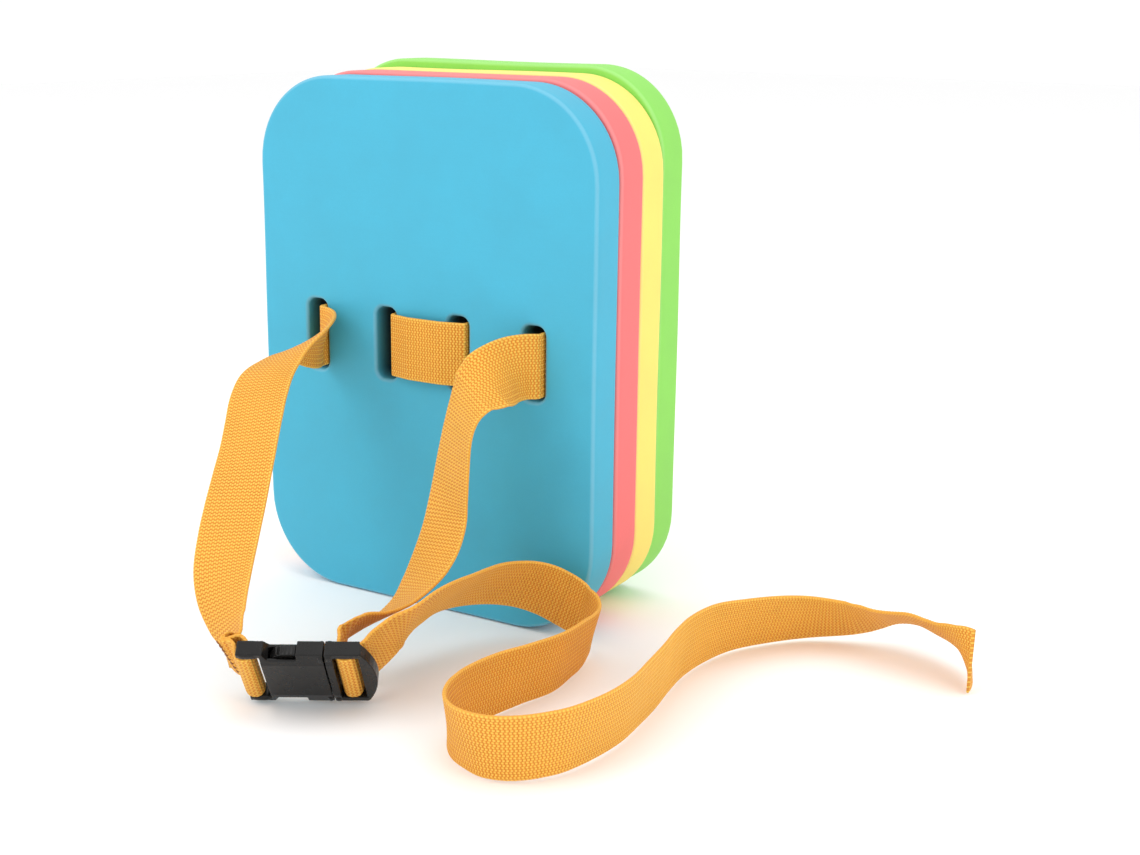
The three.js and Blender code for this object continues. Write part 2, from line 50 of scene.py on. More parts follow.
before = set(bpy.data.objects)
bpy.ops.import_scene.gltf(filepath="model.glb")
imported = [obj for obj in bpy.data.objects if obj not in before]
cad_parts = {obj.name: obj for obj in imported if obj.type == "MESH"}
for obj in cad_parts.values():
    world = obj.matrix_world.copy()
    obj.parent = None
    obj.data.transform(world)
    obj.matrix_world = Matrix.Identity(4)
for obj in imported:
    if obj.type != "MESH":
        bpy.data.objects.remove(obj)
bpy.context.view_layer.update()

MM = 0.001
SLOT_CENTRES = (-61.75, -20.25, 21.25, 62.75)
SLOT_MIDDLE_Z = 128.3
SHEETS = (
    # name, height, sideways shift, front y, back y, waviness of the front and of the back
    ("blue", 252.5, 0.0, -40.45, -20.45, 0.32, 0.06),
    ("coral", 254.0, 0.6, -20.15, -0.15, 0.06, 0.06),
    ("yellow", 254.8, 0.3, 0.15, 20.15, 0.06, 0.06),
    ("green", 258.5, -0.4, 20.45, 40.45, 0.06, 0.25),
)

# Buckle frame: a along its length from the sewn end, b across it, c through it.
BUCKLE_PLACE = np.array([10.8, -180.3, 17.6])
BUCKLE_TURN = math.radians(29)
BUCKLE_RISE = math.radians(1.2)
BUCKLE_LEAN = math.radians(37)

BAR_SOFTNESS = 0.45  # power of the cosines that make the buckle's soft bars: 1 is an ellipsoid, 0 a box
YARN_WIDTH = 1.15  # of one warp yarn
YARN_STAGGER = 0.3  # of a rib's pitch, from each yarn to the next
THREAD_RADIUS = 0.3

# Places in metres, angles in degrees and the lens in millimetres. Painted shade darkens the slots' walls as
# their distance from the middle of the stack falls from SLOT_LIGHT_Y to SLOT_DARK_Y, and the lights face
# LIT_POINT.
CAMERA_PLACE = (0.4487, -0.6524, 0.2872)
CAMERA_YAW_PITCH_ROLL = (30.892, 14.578, 0.736)
CAMERA_LENS = 51.744
SLOT_LIGHT_Y, SLOT_DARK_Y = 0.041, 0.030
FLOOR_Z = -0.0004
LIT_POINT = np.array([0.05, 0.0, 0.1])

# Routes of the webbing's middle: x, y, z and the direction its width lies in. THREADED_CORNERS are x, y at
# the slots' level, and the wraps are a, c in the buckle's frame.
THREADED_CORNERS = (
    (-57.25, -36.15),
    (-57.25, 41.6),
    (-24.75, 41.6),
    (-15.75, -41.6),
    (-4, -44.575),
    (14, -44.575),
    (25.75, -41.6),
    (25.75, 41.6),
    (58.25, 41.6),
    (67.25, -36.15),
)
LEFT_STRAP = (
    (-57.25, -36.45, 128.3, 0, 0, 1),
    (-57.25, -39.45, 128.3, 0, 0, 1),
    (-57.25, -42.95, 128.3, 0, 0, 1),
    (-52.5, -47.6, 128.5, 0.11, 0.15, 0.98),
    (-47.5, -54.8, 129.2, 0.37, 0.23, 0.9),
    (-44.6, -64.6, 130.1, 0.7, 0.07, 0.71),
    (-44.3, -75.8, 129.8, 0.89, -0.28, 0.37),
    (-45.2, -88, 125.2, 0.95, -0.3, 0.11),
    (-44.5, -98.1, 120.3, 1, -0.04, 0.05),
    (-41.4, -107.3, 113.3, 1, 0.07, 0.04),
    (-37.1, -116.1, 104.3, 1, 0.07, 0.05),
    (-32.9, -125.1, 93.9, 0.99, 0.09, 0.07),
    (-29.3, -133.4, 84.8, 0.99, 0.14, 0.06),
    (-25.4, -142.7, 73.8, 0.98, 0.21, 0.07),
    (-21.2, -152.1, 63, 0.97, 0.22, 0.1),
    (-16.4, -161.2, 52, 0.97, 0.18, 0.18),
    (-11, -167.7, 41.8, 0.95, 0.01, 0.31),
    (-5.4, -171.6, 32.6, 0.89, -0.23, 0.4),
    (-0.4, -174.2, 25.5, 0.72, -0.46, 0.52),
    (0.5, -176.8, 23.1, 0.39, -0.58, 0.71),
    (2.5, -177.3, 22, 0.27, -0.6, 0.75),
)
SOCKET_WRAP = (
    (-0.2, -8.2),
    (3.4, -4.6),
    (5.4, -2),
    (5.6, 0.8),
    (4.4, 2.9),
    (2.2, 3.4),
    (0.1, 2.6),
    (-1.1, 0.7),
    (-1.6, -1.6),
    (-3.2, -5.2),
)
FOLDED_END = (
    (1.66, -178.76, 21.13, 0.27, -0.6, 0.75),
    (-0.87, -178.08, 22.81, 0.34, -0.54, 0.77),
)
RIGHT_STRAP = (
    (67.25, -36.45, 128.3, 0, 0, -1),
    (67.25, -39.45, 128.3, 0, 0, -1),
    (67.25, -42.95, 128.3, 0, 0, -1),
    (63.7, -48, 128.6, 0.06, 0.03, -1),
    (60.6, -54.6, 128.2, 0.23, 0.04, -0.97),
    (59.3, -62.6, 127.1, 0.47, -0.05, -0.88),
    (57.5, -70.4, 125, 0.69, -0.22, -0.68),
    (54.2, -75.1, 121.3, 0.8, -0.4, -0.45),
    (51.5, -76.9, 116, 0.81, -0.51, -0.28),
    (49.5, -78, 110, 0.82, -0.55, -0.18),
    (47.9, -79, 102.3, 0.84, -0.54, -0.09),
    (46.5, -80.1, 90.3, 0.87, -0.48, -0.04),
    (45.3, -82.8, 70.9, 0.92, -0.39, -0.05),
    (45.5, -86.2, 61.2, 0.95, -0.32, 0.06),
    (45.4, -91.4, 52.3, 0.95, -0.31, 0.09),
    (44.9, -97.3, 45.2, 0.92, -0.36, 0.12),
    (43.7, -103.5, 39.1, 0.88, -0.43, 0.2),
    (42.1, -110.8, 33.4, 0.83, -0.46, 0.33),
    (39.8, -121, 29.5, 0.83, -0.33, 0.46),
    (39, -135.1, 28.8, 0.81, -0.07, 0.58),
    (39, -147.9, 28.7, 0.64, -0.02, 0.77),
)
PLUG_WRAP = (
    (40.7, -12.5),
    (40.5, -9),
    (40.5, -6),
    (40.5, -2.5),
    (40.7, 1),
    (42, 2.8),
    (43.8, 3.1),
    (46, 2.6),
    (47.2, 0.6),
    (47.5, -1.8),
    (48.9, -3.8),
    (51, -6),
    (53, -9),
)
NEAR_TAIL = (
    (55.2, -144.3, 27, 0.29, -0.52, 0.8),
    (57.5, -140, 30.3, 0.39, -0.4, 0.83),
    (60.3, -134.3, 33.1, 0.52, -0.26, 0.81),
    (61.6, -125.1, 36.3, 0.59, -0.13, 0.8),
    (61.5, -113.7, 37.2, 0.64, -0.04, 0.77),
    (61, -101.6, 37, 0.69, 0, 0.73),
    (61, -89.5, 36, 0.67, 0, 0.74),
    (62.2, -77.9, 34.5, 0.62, -0.04, 0.78),
    (65.6, -67, 32.5, 0.57, -0.09, 0.82),
    (71, -58, 30, 0.5, -0.12, 0.86),
    (78, -52.5, 27, 0.43, -0.12, 0.89),
)
LOOSE_TAIL = (
    (86, -50, 23.5, 0.37, -0.12, 0.92),
    (92, -49.5, 21, 0.3, -0.14, 0.94),
    (98, -50.5, 18.5, 0.24, -0.18, 0.95),
    (104.5, -55, 17, 0.24, -0.14, 0.96),
    (108, -61.5, 15.5, 0.28, -0.02, 0.96),
    (110.2, -70, 14.9, 0.28, 0.03, 0.96),
    (111.2, -79, 15.1, 0.26, 0.03, 0.96),
    (112, -97.5, 15.2, 0.22, -0.01, 0.97),
    (107.5, -115.5, 15.4, 0.22, -0.02, 0.98),
    (102.5, -133, 15.4, 0.15, -0.01, 0.99),
    (100.5, -151.5, 15.6, 0.14, 0, 0.99),
    (102, -160.5, 15.7, 0.11, -0.02, 0.99),
    (105.5, -168.5, 15.7, 0.03, -0.08, 1),
    (111.5, -176, 15.6, -0.04, -0.18, 0.98),
    (119, -180.5, 15.4, -0.05, -0.24, 0.97),
    (128, -182.5, 15.4, 0, -0.23, 0.97),
    (137, -180.5, 15.4, 0.05, -0.21, 0.98),
    (144.5, -175.5, 15.5, 0.1, -0.17, 0.98),
    (150.5, -168.5, 15.6, 0.14, -0.13, 0.98),
    (155, -160.5, 15.6, 0.17, -0.09, 0.98),
    (159.5, -142.5, 15.6, 0.2, -0.03, 0.98),
    (160.5, -124.5, 15.5, 0.18, 0, 0.98),
    (158.5, -106, 15.5, 0.15, 0.01, 0.99),
    (156, -88, 15.5, 0.13, 0.02, 0.99),
    (152.5, -69.5, 15.5, 0.13, 0.01, 0.99),
    (150.5, -51.5, 15.5, 0.15, 0, 0.99),
    (152, -33, 15.4, 0.2, -0.04, 0.98),
    (158, -16, 15, 0.31, -0.15, 0.94),
    (168, -0.5, 14.6, 0.31, -0.27, 0.91),
    (181, 12, 14.4, 0.23, -0.46, 0.86),
    (197.5, 19, 15.2, 0.07, -0.66, 0.75),
    (206.5, 20.5, 17, -0.02, -0.78, 0.62),
    (214.5, 21, 18.8, -0.05, -0.88, 0.47),
    (223.5, 20.5, 20, -0.1, -0.89, 0.45),
    (232.5, 18.5, 20, -0.15, -0.83, 0.54),
    (241.5, 15.5, 19, -0.2, -0.78, 0.59),
    (249.5, 11, 17.5, -0.2, -0.68, 0.7),
    (256, 4.5, 16, -0.05, -0.46, 0.89),
    (261, -1.5, 15.6, 0.14, -0.16, 0.98),
)


# ---- Routes ----
def buckle_axes():
    """Unit vectors a, b and c of the buckle: a is turned from +X and lifted a little, b leans to the
    front, and c is a cross b."""
    turn, rise, lean = BUCKLE_TURN, BUCKLE_RISE, BUCKLE_LEAN
    length = np.array([math.cos(turn) * math.cos(rise), math.sin(turn) * math.cos(rise), math.sin(rise)])
    facing = np.array([math.sin(turn), -math.cos(turn), 0.0])
    across = np.cross(facing, length) * math.cos(lean) + facing * math.sin(lean)
    return np.array([length, across, np.cross(length, across)])


def in_buckle(pairs):
    """Route rows for points (a, c) in the buckle's own plane, with the webbing square across the buckle."""
    axes = buckle_axes()
    pairs = np.array(pairs, float)
    points = BUCKLE_PLACE + pairs[:, :1] * axes[0] + pairs[:, 1:] * axes[2]
    return np.hstack([points, np.repeat(axes[1:2], len(points), axis=0)])


def spline_terms(points, even):
    """Cubic terms of a Catmull-Rom spline through the points, one row a span. Where even is false the
    knots are spaced by the square root of the distance, and the ends are carried on by reflection."""
    ends = np.vstack([2 * points[0] - points[1], points, 2 * points[-1] - points[-2]])
    p0, p1, p2, p3 = ends[:-3], ends[1:-2], ends[2:-1], ends[3:]
    if even:
        start, end = (p2 - p0) / 2, (p3 - p1) / 2
    else:
        d0, d1, d2 = (
            np.maximum(((b - a) ** 2).sum(1, keepdims=True), 1e-12) ** 0.25
            for a, b in ((p0, p1), (p1, p2), (p2, p3))
        )
        start = ((p1 - p0) / d0 - (p2 - p0) / (d0 + d1) + (p2 - p1) / d1) * d1
        end = ((p2 - p1) / d1 - (p3 - p1) / (d1 + d2) + (p3 - p2) / d2) * d1
    return p1, start, -3 * p1 + 3 * p2 - 2 * start - end, 2 * p1 - 2 * p2 + start + end


def spline_at(terms, u):
    """Points at parameters u, counted in spans: term0 + term1 t + term2 t^2 + term3 t^3."""
    span = np.minimum(u.astype(int), len(terms[0]) - 1)
    t = (u - span)[:, None]
    return terms[0][span] + t * (terms[1][span] + t * (terms[2][span] + t * terms[3][span]))


class Route:
    """A webbing's middle line with its width direction, measured by arc length in millimetres."""

    def __init__(self, rows):
        rows = np.array(rows, float)
        widths = rows[:, 3:] / np.linalg.norm(rows[:, 3:], axis=1, keepdims=True)
        self.line = spline_terms(rows[:, :3], False)
        self.width = spline_terms(widths, True)
        self.u = np.linspace(0, len(rows) - 1, 60 * (len(rows) - 1) + 1)
        steps = np.linalg.norm(np.diff(spline_at(self.line, self.u), axis=0), axis=1)
        self.s = np.concatenate([[0], np.cumsum(steps)])
        self.length = self.s[-1]

    def at_point(self, index):
        """Arc length at a row of the route."""
        return float(np.interp(index, self.u, self.s))

    def frames(self, s):
        """Points, headings, width directions squared to the headings, and face directions at arc
        lengths s."""
        u = np.interp(s, self.s, self.u)
        points = spline_at(self.line, u)
        ahead = spline_at(self.line, np.minimum(u + 2e-3, self.u[-1]))
        behind = spline_at(self.line, np.maximum(u - 2e-3, 0))
        heading = ahead - behind
        heading /= np.linalg.norm(heading, axis=1, keepdims=True)
        width = spline_at(self.width, u)
        width -= heading * (width * heading).sum(1, keepdims=True)
        width /= np.linalg.norm(width, axis=1, keepdims=True)
        return points, heading, width, np.cross(heading, width)


def level_rows(corners, radius):
    """Rows of a level path through the corners, each corner rounded by three points of a quadratic
    curve, with short straight lead-ins so that the spline keeps to the straights. The width stands
    upright."""
    corners = np.array(corners, float)
    rows = [corners[0]]
    for before, here, after in zip(corners[:-2], corners[1:-1], corners[2:]):
        back = (before - here) / np.linalg.norm(before - here)
        on = (after - here) / np.linalg.norm(after - here)
        half = math.acos(float(np.clip(back @ on, -1, 1))) / 2
        inset = min(radius / math.tan(half), 4.0)
        a, b = here + back * inset, here + on * inset
        rows += [a + back * 0.8, a, (a + 2 * here + b) / 4, b, b + on * 0.8]
    rows.append(corners[-1])
    rows = np.array(rows)
    keep = np.r_[True, np.linalg.norm(np.diff(rows, axis=0), axis=1) > 0.3]
    rows = rows[keep]
    upright = np.tile([0.0, 0.0, 1.0], (len(rows), 1))
    return np.hstack([rows, np.full((len(rows), 1), SLOT_MIDDLE_Z), upright])


# ---- Meshes ----
def piece(name, points, quads, caps=(), uv=None, numbers=None):
    """A mesh object from points in metres, an array of quads and a few cap polygons. uv is a pair a
    point, and numbers holds one number a point for each attribute name."""
    mesh = bpy.data.meshes.new(name)
    mesh.from_pydata(points.tolist(), [], quads.tolist() + [list(map(int, cap)) for cap in caps])
    mesh.polygons.foreach_set("use_smooth", np.ones(len(mesh.polygons), bool))
    if uv is not None:
        corner = np.zeros(len(mesh.loops), np.int32)
        mesh.loops.foreach_get("vertex_index", corner)
        layer = mesh.uv_layers.new(name="UVMap")
        layer.uv.foreach_set("vector", uv[corner].astype(np.float32).ravel())
    for key, values in (numbers or {}).items():
        mesh.attributes.new(key, "FLOAT", "POINT").data.foreach_set("value", values.astype(np.float32))
    mesh.update()
    obj = bpy.data.objects.new(name, mesh)
    bpy.context.scene.collection.objects.link(obj)
    return obj


def tube_quads(rows, columns, first=0):
    """Quads between the rows of a grid whose columns close on themselves."""
    i, j = np.meshgrid(np.arange(rows - 1), np.arange(columns), indexing="ij")
    k = (j + 1) % columns
    quads = np.stack([i * columns + j, i * columns + k, (i + 1) * columns + k, (i + 1) * columns + j], -1)
    return quads.reshape(-1, 4) + first


def webbing_section(width, thickness):
    """The strip's cross section: x across and y through it, anticlockwise, with half-round edges, and
    how much of the rib each point takes: all on the faces, less on the selvedges."""
    half, r = width / 2, thickness / 2
    right_half = np.array([0.2, 0.4, 0.6, 0.8, 0.93, 0.965, 1])
    flat = np.concatenate([-right_half[::-1], [0], right_half]) * (half - r)
    angle = np.radians([-54, -18, 18, 54])
    right = np.stack([half - r + r * np.cos(angle), r * np.sin(angle)], -1)
    x = np.concatenate([flat, right[:, 0], flat[::-1], -right[:, 0]])
    y = np.concatenate([-r + 0 * flat, right[:, 1], r + 0 * flat, -right[:, 1]])
    rib = np.clip((half - 0.35 - np.abs(x)) / 1.2, 0, 1) * 0.75 + 0.25
    return x, y, rib


def webbing_strip(name, route, start, end, width, thickness, pitch, depth):
    """A strip swept along the route from arc length start to end. The section stands square to the
    path, and its faces rise and fall as depth x (|cos(pi s / pitch)| - 1/2), one rib a pitch, so the
    weft shows as ridges."""
    step = pitch / 4
    count = int(round((end - start) / step))
    s = np.linspace(start, end, count + 1)
    points, _, across, up = route.frames(s)
    x, y, rib = webbing_section(width, thickness)
    swell = depth * (np.abs(np.cos(np.pi * s / pitch)) - 0.5)
    fade = np.clip(np.minimum(s - start, end - s) / 0.4, 0, 1)
    on_face = np.abs(y) > thickness / 4
    high = y[None] + (np.sign(y) * rib * on_face)[None] * (swell * fade)[:, None]
    grid = points[:, None] + across[:, None] * x[None, :, None] + up[:, None] * high[..., None]
    rows, columns = high.shape
    u, v = x[None] + width / 2, s[:, None]
    uv = np.stack([np.broadcast_to(u, high.shape), np.broadcast_to(v, high.shape)], -1)
    caps = [np.arange(columns)[::-1], np.arange(columns) + (rows - 1) * columns]
    return piece(name, grid.reshape(-1, 3) * MM, tube_quads(rows, columns), caps, uv.reshape(-1, 2) * MM)


def thread(name, points, radius, sides=8):
    """A round thread along points: each ring is the point plus radius times the cosine and sine of two
    directions square to the path, which are carried from one fixed direction."""
    points = np.array(points, float)
    heading = np.gradient(points, axis=0)
    heading /= np.linalg.norm(heading, axis=1, keepdims=True)
    side = np.cross(heading, [0.3, 0.2, 0.93])
    side /= np.linalg.norm(side, axis=1, keepdims=True)
    other = np.cross(heading, side)
    angle = np.arange(sides) * 2 * math.pi / sides
    ring = side[:, None] * np.cos(angle)[None, :, None] + other[:, None] * np.sin(angle)[None, :, None]
    grid = points[:, None] + radius * ring
    last = (len(points) - 1) * sides
    caps = [np.arange(sides)[::-1], np.arange(sides) + last]
    return piece(name, grid.reshape(-1, 3) * MM, tube_quads(len(points), sides), caps)


def rounded(points, half_width, half_height, radius):
    """Points on a sharp rectangle's edge, moved onto the same rectangle with round corners: a point
    within radius of a corner goes to that corner's circle along the ray from the circle's middle."""
    size = np.array([half_width, half_height]) - radius
    middle = np.sign(points) * size
    out = points - middle
    corner = (np.abs(points) > size).all(1)
    norm = np.maximum(np.linalg.norm(out, axis=1, keepdims=True), 1e-9)
    return np.where(corner[:, None], middle + out / norm * radius, points)


def edge_ring(half_width, half_height, across, upright, gather=0.0):
    """Points round a sharp rectangle, anticlockwise from its low left corner, with across and upright
    steps on its sides. gather draws the upright steps towards the corners."""
    t = np.linspace(-1, 1, across + 1)[:-1]
    v = np.linspace(-1, 1, upright + 1)[:-1]
    v = (1 - gather) * v + gather * np.sin(v * math.pi / 2)
    w, h = half_width, half_height
    low = np.stack([t * w, np.full(across, -h)], -1)
    right = np.stack([np.full(upright, w), v * h], -1)
    return np.vstack([low, right, -low, -right])


def ripple(x, z, seed):
    """A gentle unevenness from 1 to -1: the mean of five sines of x and z with fixed directions,
    lengths and phases."""
    total = 0 * x
    waves = ((0.031, 0.012), (-0.017, 0.041), (0.052, -0.037), (0.011, 0.067), (0.083, 0.029))
    for k, (kx, kz) in enumerate(waves):
        total = total + np.sin(kx * x + kz * z + 1.7 * seed + 2.3 * k)
    return total / 5


def foam_sheet(name, height, shift, front, back, front_wave, back_wave, width, corner, edge, seed):
    """One foam sheet. Its face is a grid of rings: round each slot from the slot's outline to a
    rectangle, and from the band of four rectangles out to the sheet's outline. Each ring goes on over a
    rounded edge of radius edge, through the thickness and over the back in the same way. Widths and
    heights of slots and cells are halves."""
    slot_w, slot_h, slot_r = 6.0, 17.5, 4.5
    cell_w, cell_h, across, upright = 20.75, 30.0, 28, 44
    profile = np.radians([0, 15, 30, 45, 60, 75, 90])
    inward = edge * (1 - np.sin(profile))
    sink = edge * (1 - np.cos(profile))
    depth = back - front
    wall = np.linspace(edge, depth - edge, 6)[1:-1]
    points, quads, edge_highlights, walls, base = [], [], [], [], 0

    def sleeve(inner, outline, rows, middle, outside):
        """Rows of one sleeve: face rings from inner to the outline, the rounded edge, the wall, and the
        same again in reverse on the back."""
        nonlocal base
        share = np.linspace(0, 1, rows) ** (0.8 if outside else 1.0)
        first = outline(inward[0])
        face = inner[None] + (first - inner)[None] * share[:, None, None]
        bend = np.stack([outline(d) for d in inward[1:]])
        straight = np.repeat(outline(0.0)[None], len(wall), axis=0)
        rings = np.concatenate([face, bend, straight, bend[::-1], face[::-1]])
        y = np.concatenate([np.zeros(rows), sink[1:], wall, depth - sink[1:][::-1], np.full(rows, depth)])
        hump = np.sin(np.linspace(0, np.pi, len(profile)))
        # The hump marks the rounded edges, where the material paints a highlight that makes them paler.
        edge_highlight_mask = np.concatenate([np.zeros(rows - 1), hump, np.zeros(len(wall)), hump[::-1], np.zeros(rows - 1)])
        x, z = rings[..., 0] + middle[0], rings[..., 1] + middle[1]
        part = np.clip(y / depth, 0, 1)[:, None]
        wave = (1 - part) * front_wave * ripple(x, z, seed) + part * back_wave * ripple(x, z, seed + 5)
        grid = np.stack([x, front + y[:, None] + wave, z], -1)
        count = grid.shape[1]
        made = tube_quads(len(grid), count, base)
        points.append(grid.reshape(-1, 3))
        quads.append(made if outside else made[:, ::-1])
        # Masks for painted light: a highlight on the rounded edges, and shade on the slots' walls.
        edge_highlights.append(np.repeat(edge_highlight_mask, count))
        walls.append(np.repeat(np.where((y > 0) & (y < depth), float(not outside), 0.0), count))
        base += grid.shape[0] * count

    band = edge_ring(4 * cell_w, cell_h, 4 * across, upright)
    band_middle = np.array([0.5, SLOT_MIDDLE_Z])
    middle = np.array([shift, height / 2])
    sharp = edge_ring(width / 2, height / 2, 4 * across, upright, 0.55)

    def outer(d):
        scale = np.array([width / 2 - d, height / 2 - d]) / np.array([width / 2, height / 2])
        ring = rounded(sharp * scale, width / 2 - d, height / 2 - d, corner - d)
        swell = 0.18 * np.sin(ring[:, 0] * 0.05 + seed) * np.sin(ring[:, 1] * 0.043 + 2 * seed)
        ring = ring * (1 + swell / 100)[:, None] + middle - band_middle
        ring[:, 1] = np.maximum(ring[:, 1], d - band_middle[1])
        return ring

    sleeve(band, outer, 16, band_middle, True)
    for x in SLOT_CENTRES:
        cell = edge_ring(cell_w, cell_h, across, upright)
        slot_edge = edge_ring(slot_w, slot_h, across, upright)

        def hole(d, ring=slot_edge):
            grown = np.array([slot_w + d, slot_h + d])
            return rounded(ring * grown / np.array([slot_w, slot_h]), *grown, slot_r + d)

        sleeve(cell, hole, 9, np.array([x, SLOT_MIDDLE_Z]), False)
    numbers = {"rim": np.concatenate(edge_highlights), "slot_wall": np.concatenate(walls)}
    obj = piece(name, np.vstack(points) * MM, np.vstack(quads), numbers=numbers)
    work = bmesh.new()
    work.from_mesh(obj.data)
    bmesh.ops.remove_doubles(work, verts=work.verts, dist=2e-6)
    bmesh.ops.recalc_face_normals(work, faces=work.faces)
    work.to_mesh(obj.data)
    work.free()
    return obj


def rounded_bar(low, high, soft, count=10):
    """A closed bar with soft edges in buckle coordinates: a superellipsoid, each axis the signed power
    soft of cosine or sine of two angles, scaled to the box. Returns its points, its quads and the
    points a ring has."""
    turn = np.linspace(0, 2 * math.pi, 4 * count, endpoint=False)
    lift = np.linspace(-math.pi / 2, math.pi / 2, 2 * count + 1)[1:-1]
    power = lambda v: np.sign(v) * np.abs(v) ** soft
    ring = np.stack([power(np.cos(turn)), power(np.sin(turn))], -1)
    level = np.broadcast_to(power(np.sin(lift))[:, None, None], (len(lift), len(turn), 1))
    grid = np.concatenate([ring[None] * power(np.cos(lift))[:, None, None], level], -1)
    low, high = np.array(low, float), np.array(high, float)
    points = np.vstack([grid.reshape(-1, 3), [[0, 0, -1], [0, 0, 1]]])
    points = (low + high) / 2 + points * (high - low) / 2
    return points, tube_quads(len(lift), len(turn)), len(turn)


def moulding(name, node, extras, fine, passes):
    """A moulded piece: a copy of the CAD solid merged with soft bars, made one skin by a fine voxel
    remesh, whose edges are then eased by smoothing passes. The CAD node itself isn't touched."""
    work = bmesh.new()
    work.from_mesh(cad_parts[node].data)
    bmesh.ops.remove_doubles(work, verts=work.verts, dist=1e-6)
    axes = buckle_axes()
    for low, high in extras:
        points, quads, ring = rounded_bar(low, high, BAR_SOFTNESS)
        world = (BUCKLE_PLACE + points @ axes) * MM
        verts = [work.verts.new(p) for p in world]
        made = [work.faces.new([verts[i] for i in q]) for q in quads]
        end = len(verts) - 2
        for k in range(ring):
            n = (k + 1) % ring
            made.append(work.faces.new([verts[n], verts[k], verts[end]]))
            made.append(work.faces.new([verts[end - ring + k], verts[end - ring + n], verts[end + 1]]))
        bmesh.ops.recalc_face_normals(work, faces=made)
    mesh = bpy.data.meshes.new(name)
    work.to_mesh(mesh)
    work.free()
    obj = bpy.data.objects.new(name, mesh)
    bpy.context.scene.collection.objects.link(obj)
    remesh = obj.modifiers.new("skin", "REMESH")
    remesh.mode = "VOXEL"
    remesh.voxel_size = fine * MM
    remesh.use_smooth_shade = True
    ease = obj.modifiers.new("ease", "SMOOTH")
    ease.factor = 0.5
    ease.iterations = passes
    graph = bpy.context.evaluated_depsgraph_get()
    done = bpy.data.meshes.new_from_object(obj.evaluated_get(graph))
    obj.modifiers.clear()
    obj.data = done
    done.name = name
    done.polygons.foreach_set("use_smooth", np.ones(len(done.polygons), bool))
    return obj


# ---- Materials ----
class Nodes:
    """Short hand for building one material's node tree."""

    def __init__(self, name):
        self.material = bpy.data.materials.new(name)
        self.material.use_nodes = True
        self.tree = self.material.node_tree
        self.shader = self.tree.nodes["Principled BSDF"]

    def add(self, kind, inputs=None, **settings):
        """A node of a kind, with its settings, and with each input set to a value or linked to a socket."""
        node = self.tree.nodes.new(kind)
        for key, value in settings.items():
            setattr(node, key, value)
        for key, value in (inputs or {}).items():
            if isinstance(value, bpy.types.NodeSocket):
                self.tree.links.new(value, node.inputs[key])
            else:
                node.inputs[key].default_value = value
        return node

    def math(self, operation, a, b=0.0):
        """The result of one operation on two values or sockets."""
        return self.add("ShaderNodeMath", {0: a, 1: b}, operation=operation).outputs[0]

    def noise(self, vector, scale, detail=2.0, roughness=0.5):
        """Noise from about 0.3 to 0.7, scale features a metre."""
        inputs = {"Vector": vector, "Scale": scale, "Detail": detail, "Roughness": roughness}
        return self.add("ShaderNodeTexNoise", inputs).outputs["Fac"]

    def spread(self, value, low, high, to_low, to_high):
        """The value's range low to high taken to the range to_low to to_high, and held at its ends."""
        inputs = {"Value": value, "From Min": low, "From Max": high, "To Min": to_low, "To Max": to_high}
        return self.add("ShaderNodeMapRange", inputs).outputs["Result"]

    def blend(self, share, a, b):
        """Colour a with a share of colour b."""
        return self.add("ShaderNodeMix", {0: share, 6: a, 7: b}, data_type="RGBA").outputs[2]

    def bump(self, height, strength, distance, normal=None):
        """A bumped normal, over another where one is given."""
        inputs = {"Height": height, "Strength": strength, "Distance": distance}
        if normal is not None:
            inputs["Normal"] = normal
        return self.add("ShaderNodeBump", inputs).outputs["Normal"]

    def finish(self, **inputs):
        """Sets or links the shader's inputs, named with _ for each space, and returns the material."""
        for key, value in inputs.items():
            socket = self.shader.inputs[key.replace("_", " ")]
            if isinstance(value, bpy.types.NodeSocket):
                self.tree.links.new(value, socket)
            else:
                socket.default_value = value
        return self.material


def shade(color, factor):
    """A colour with its light scaled by factor."""
    return tuple(min(1.0, c * factor) for c in color[:3]) + (1.0,)


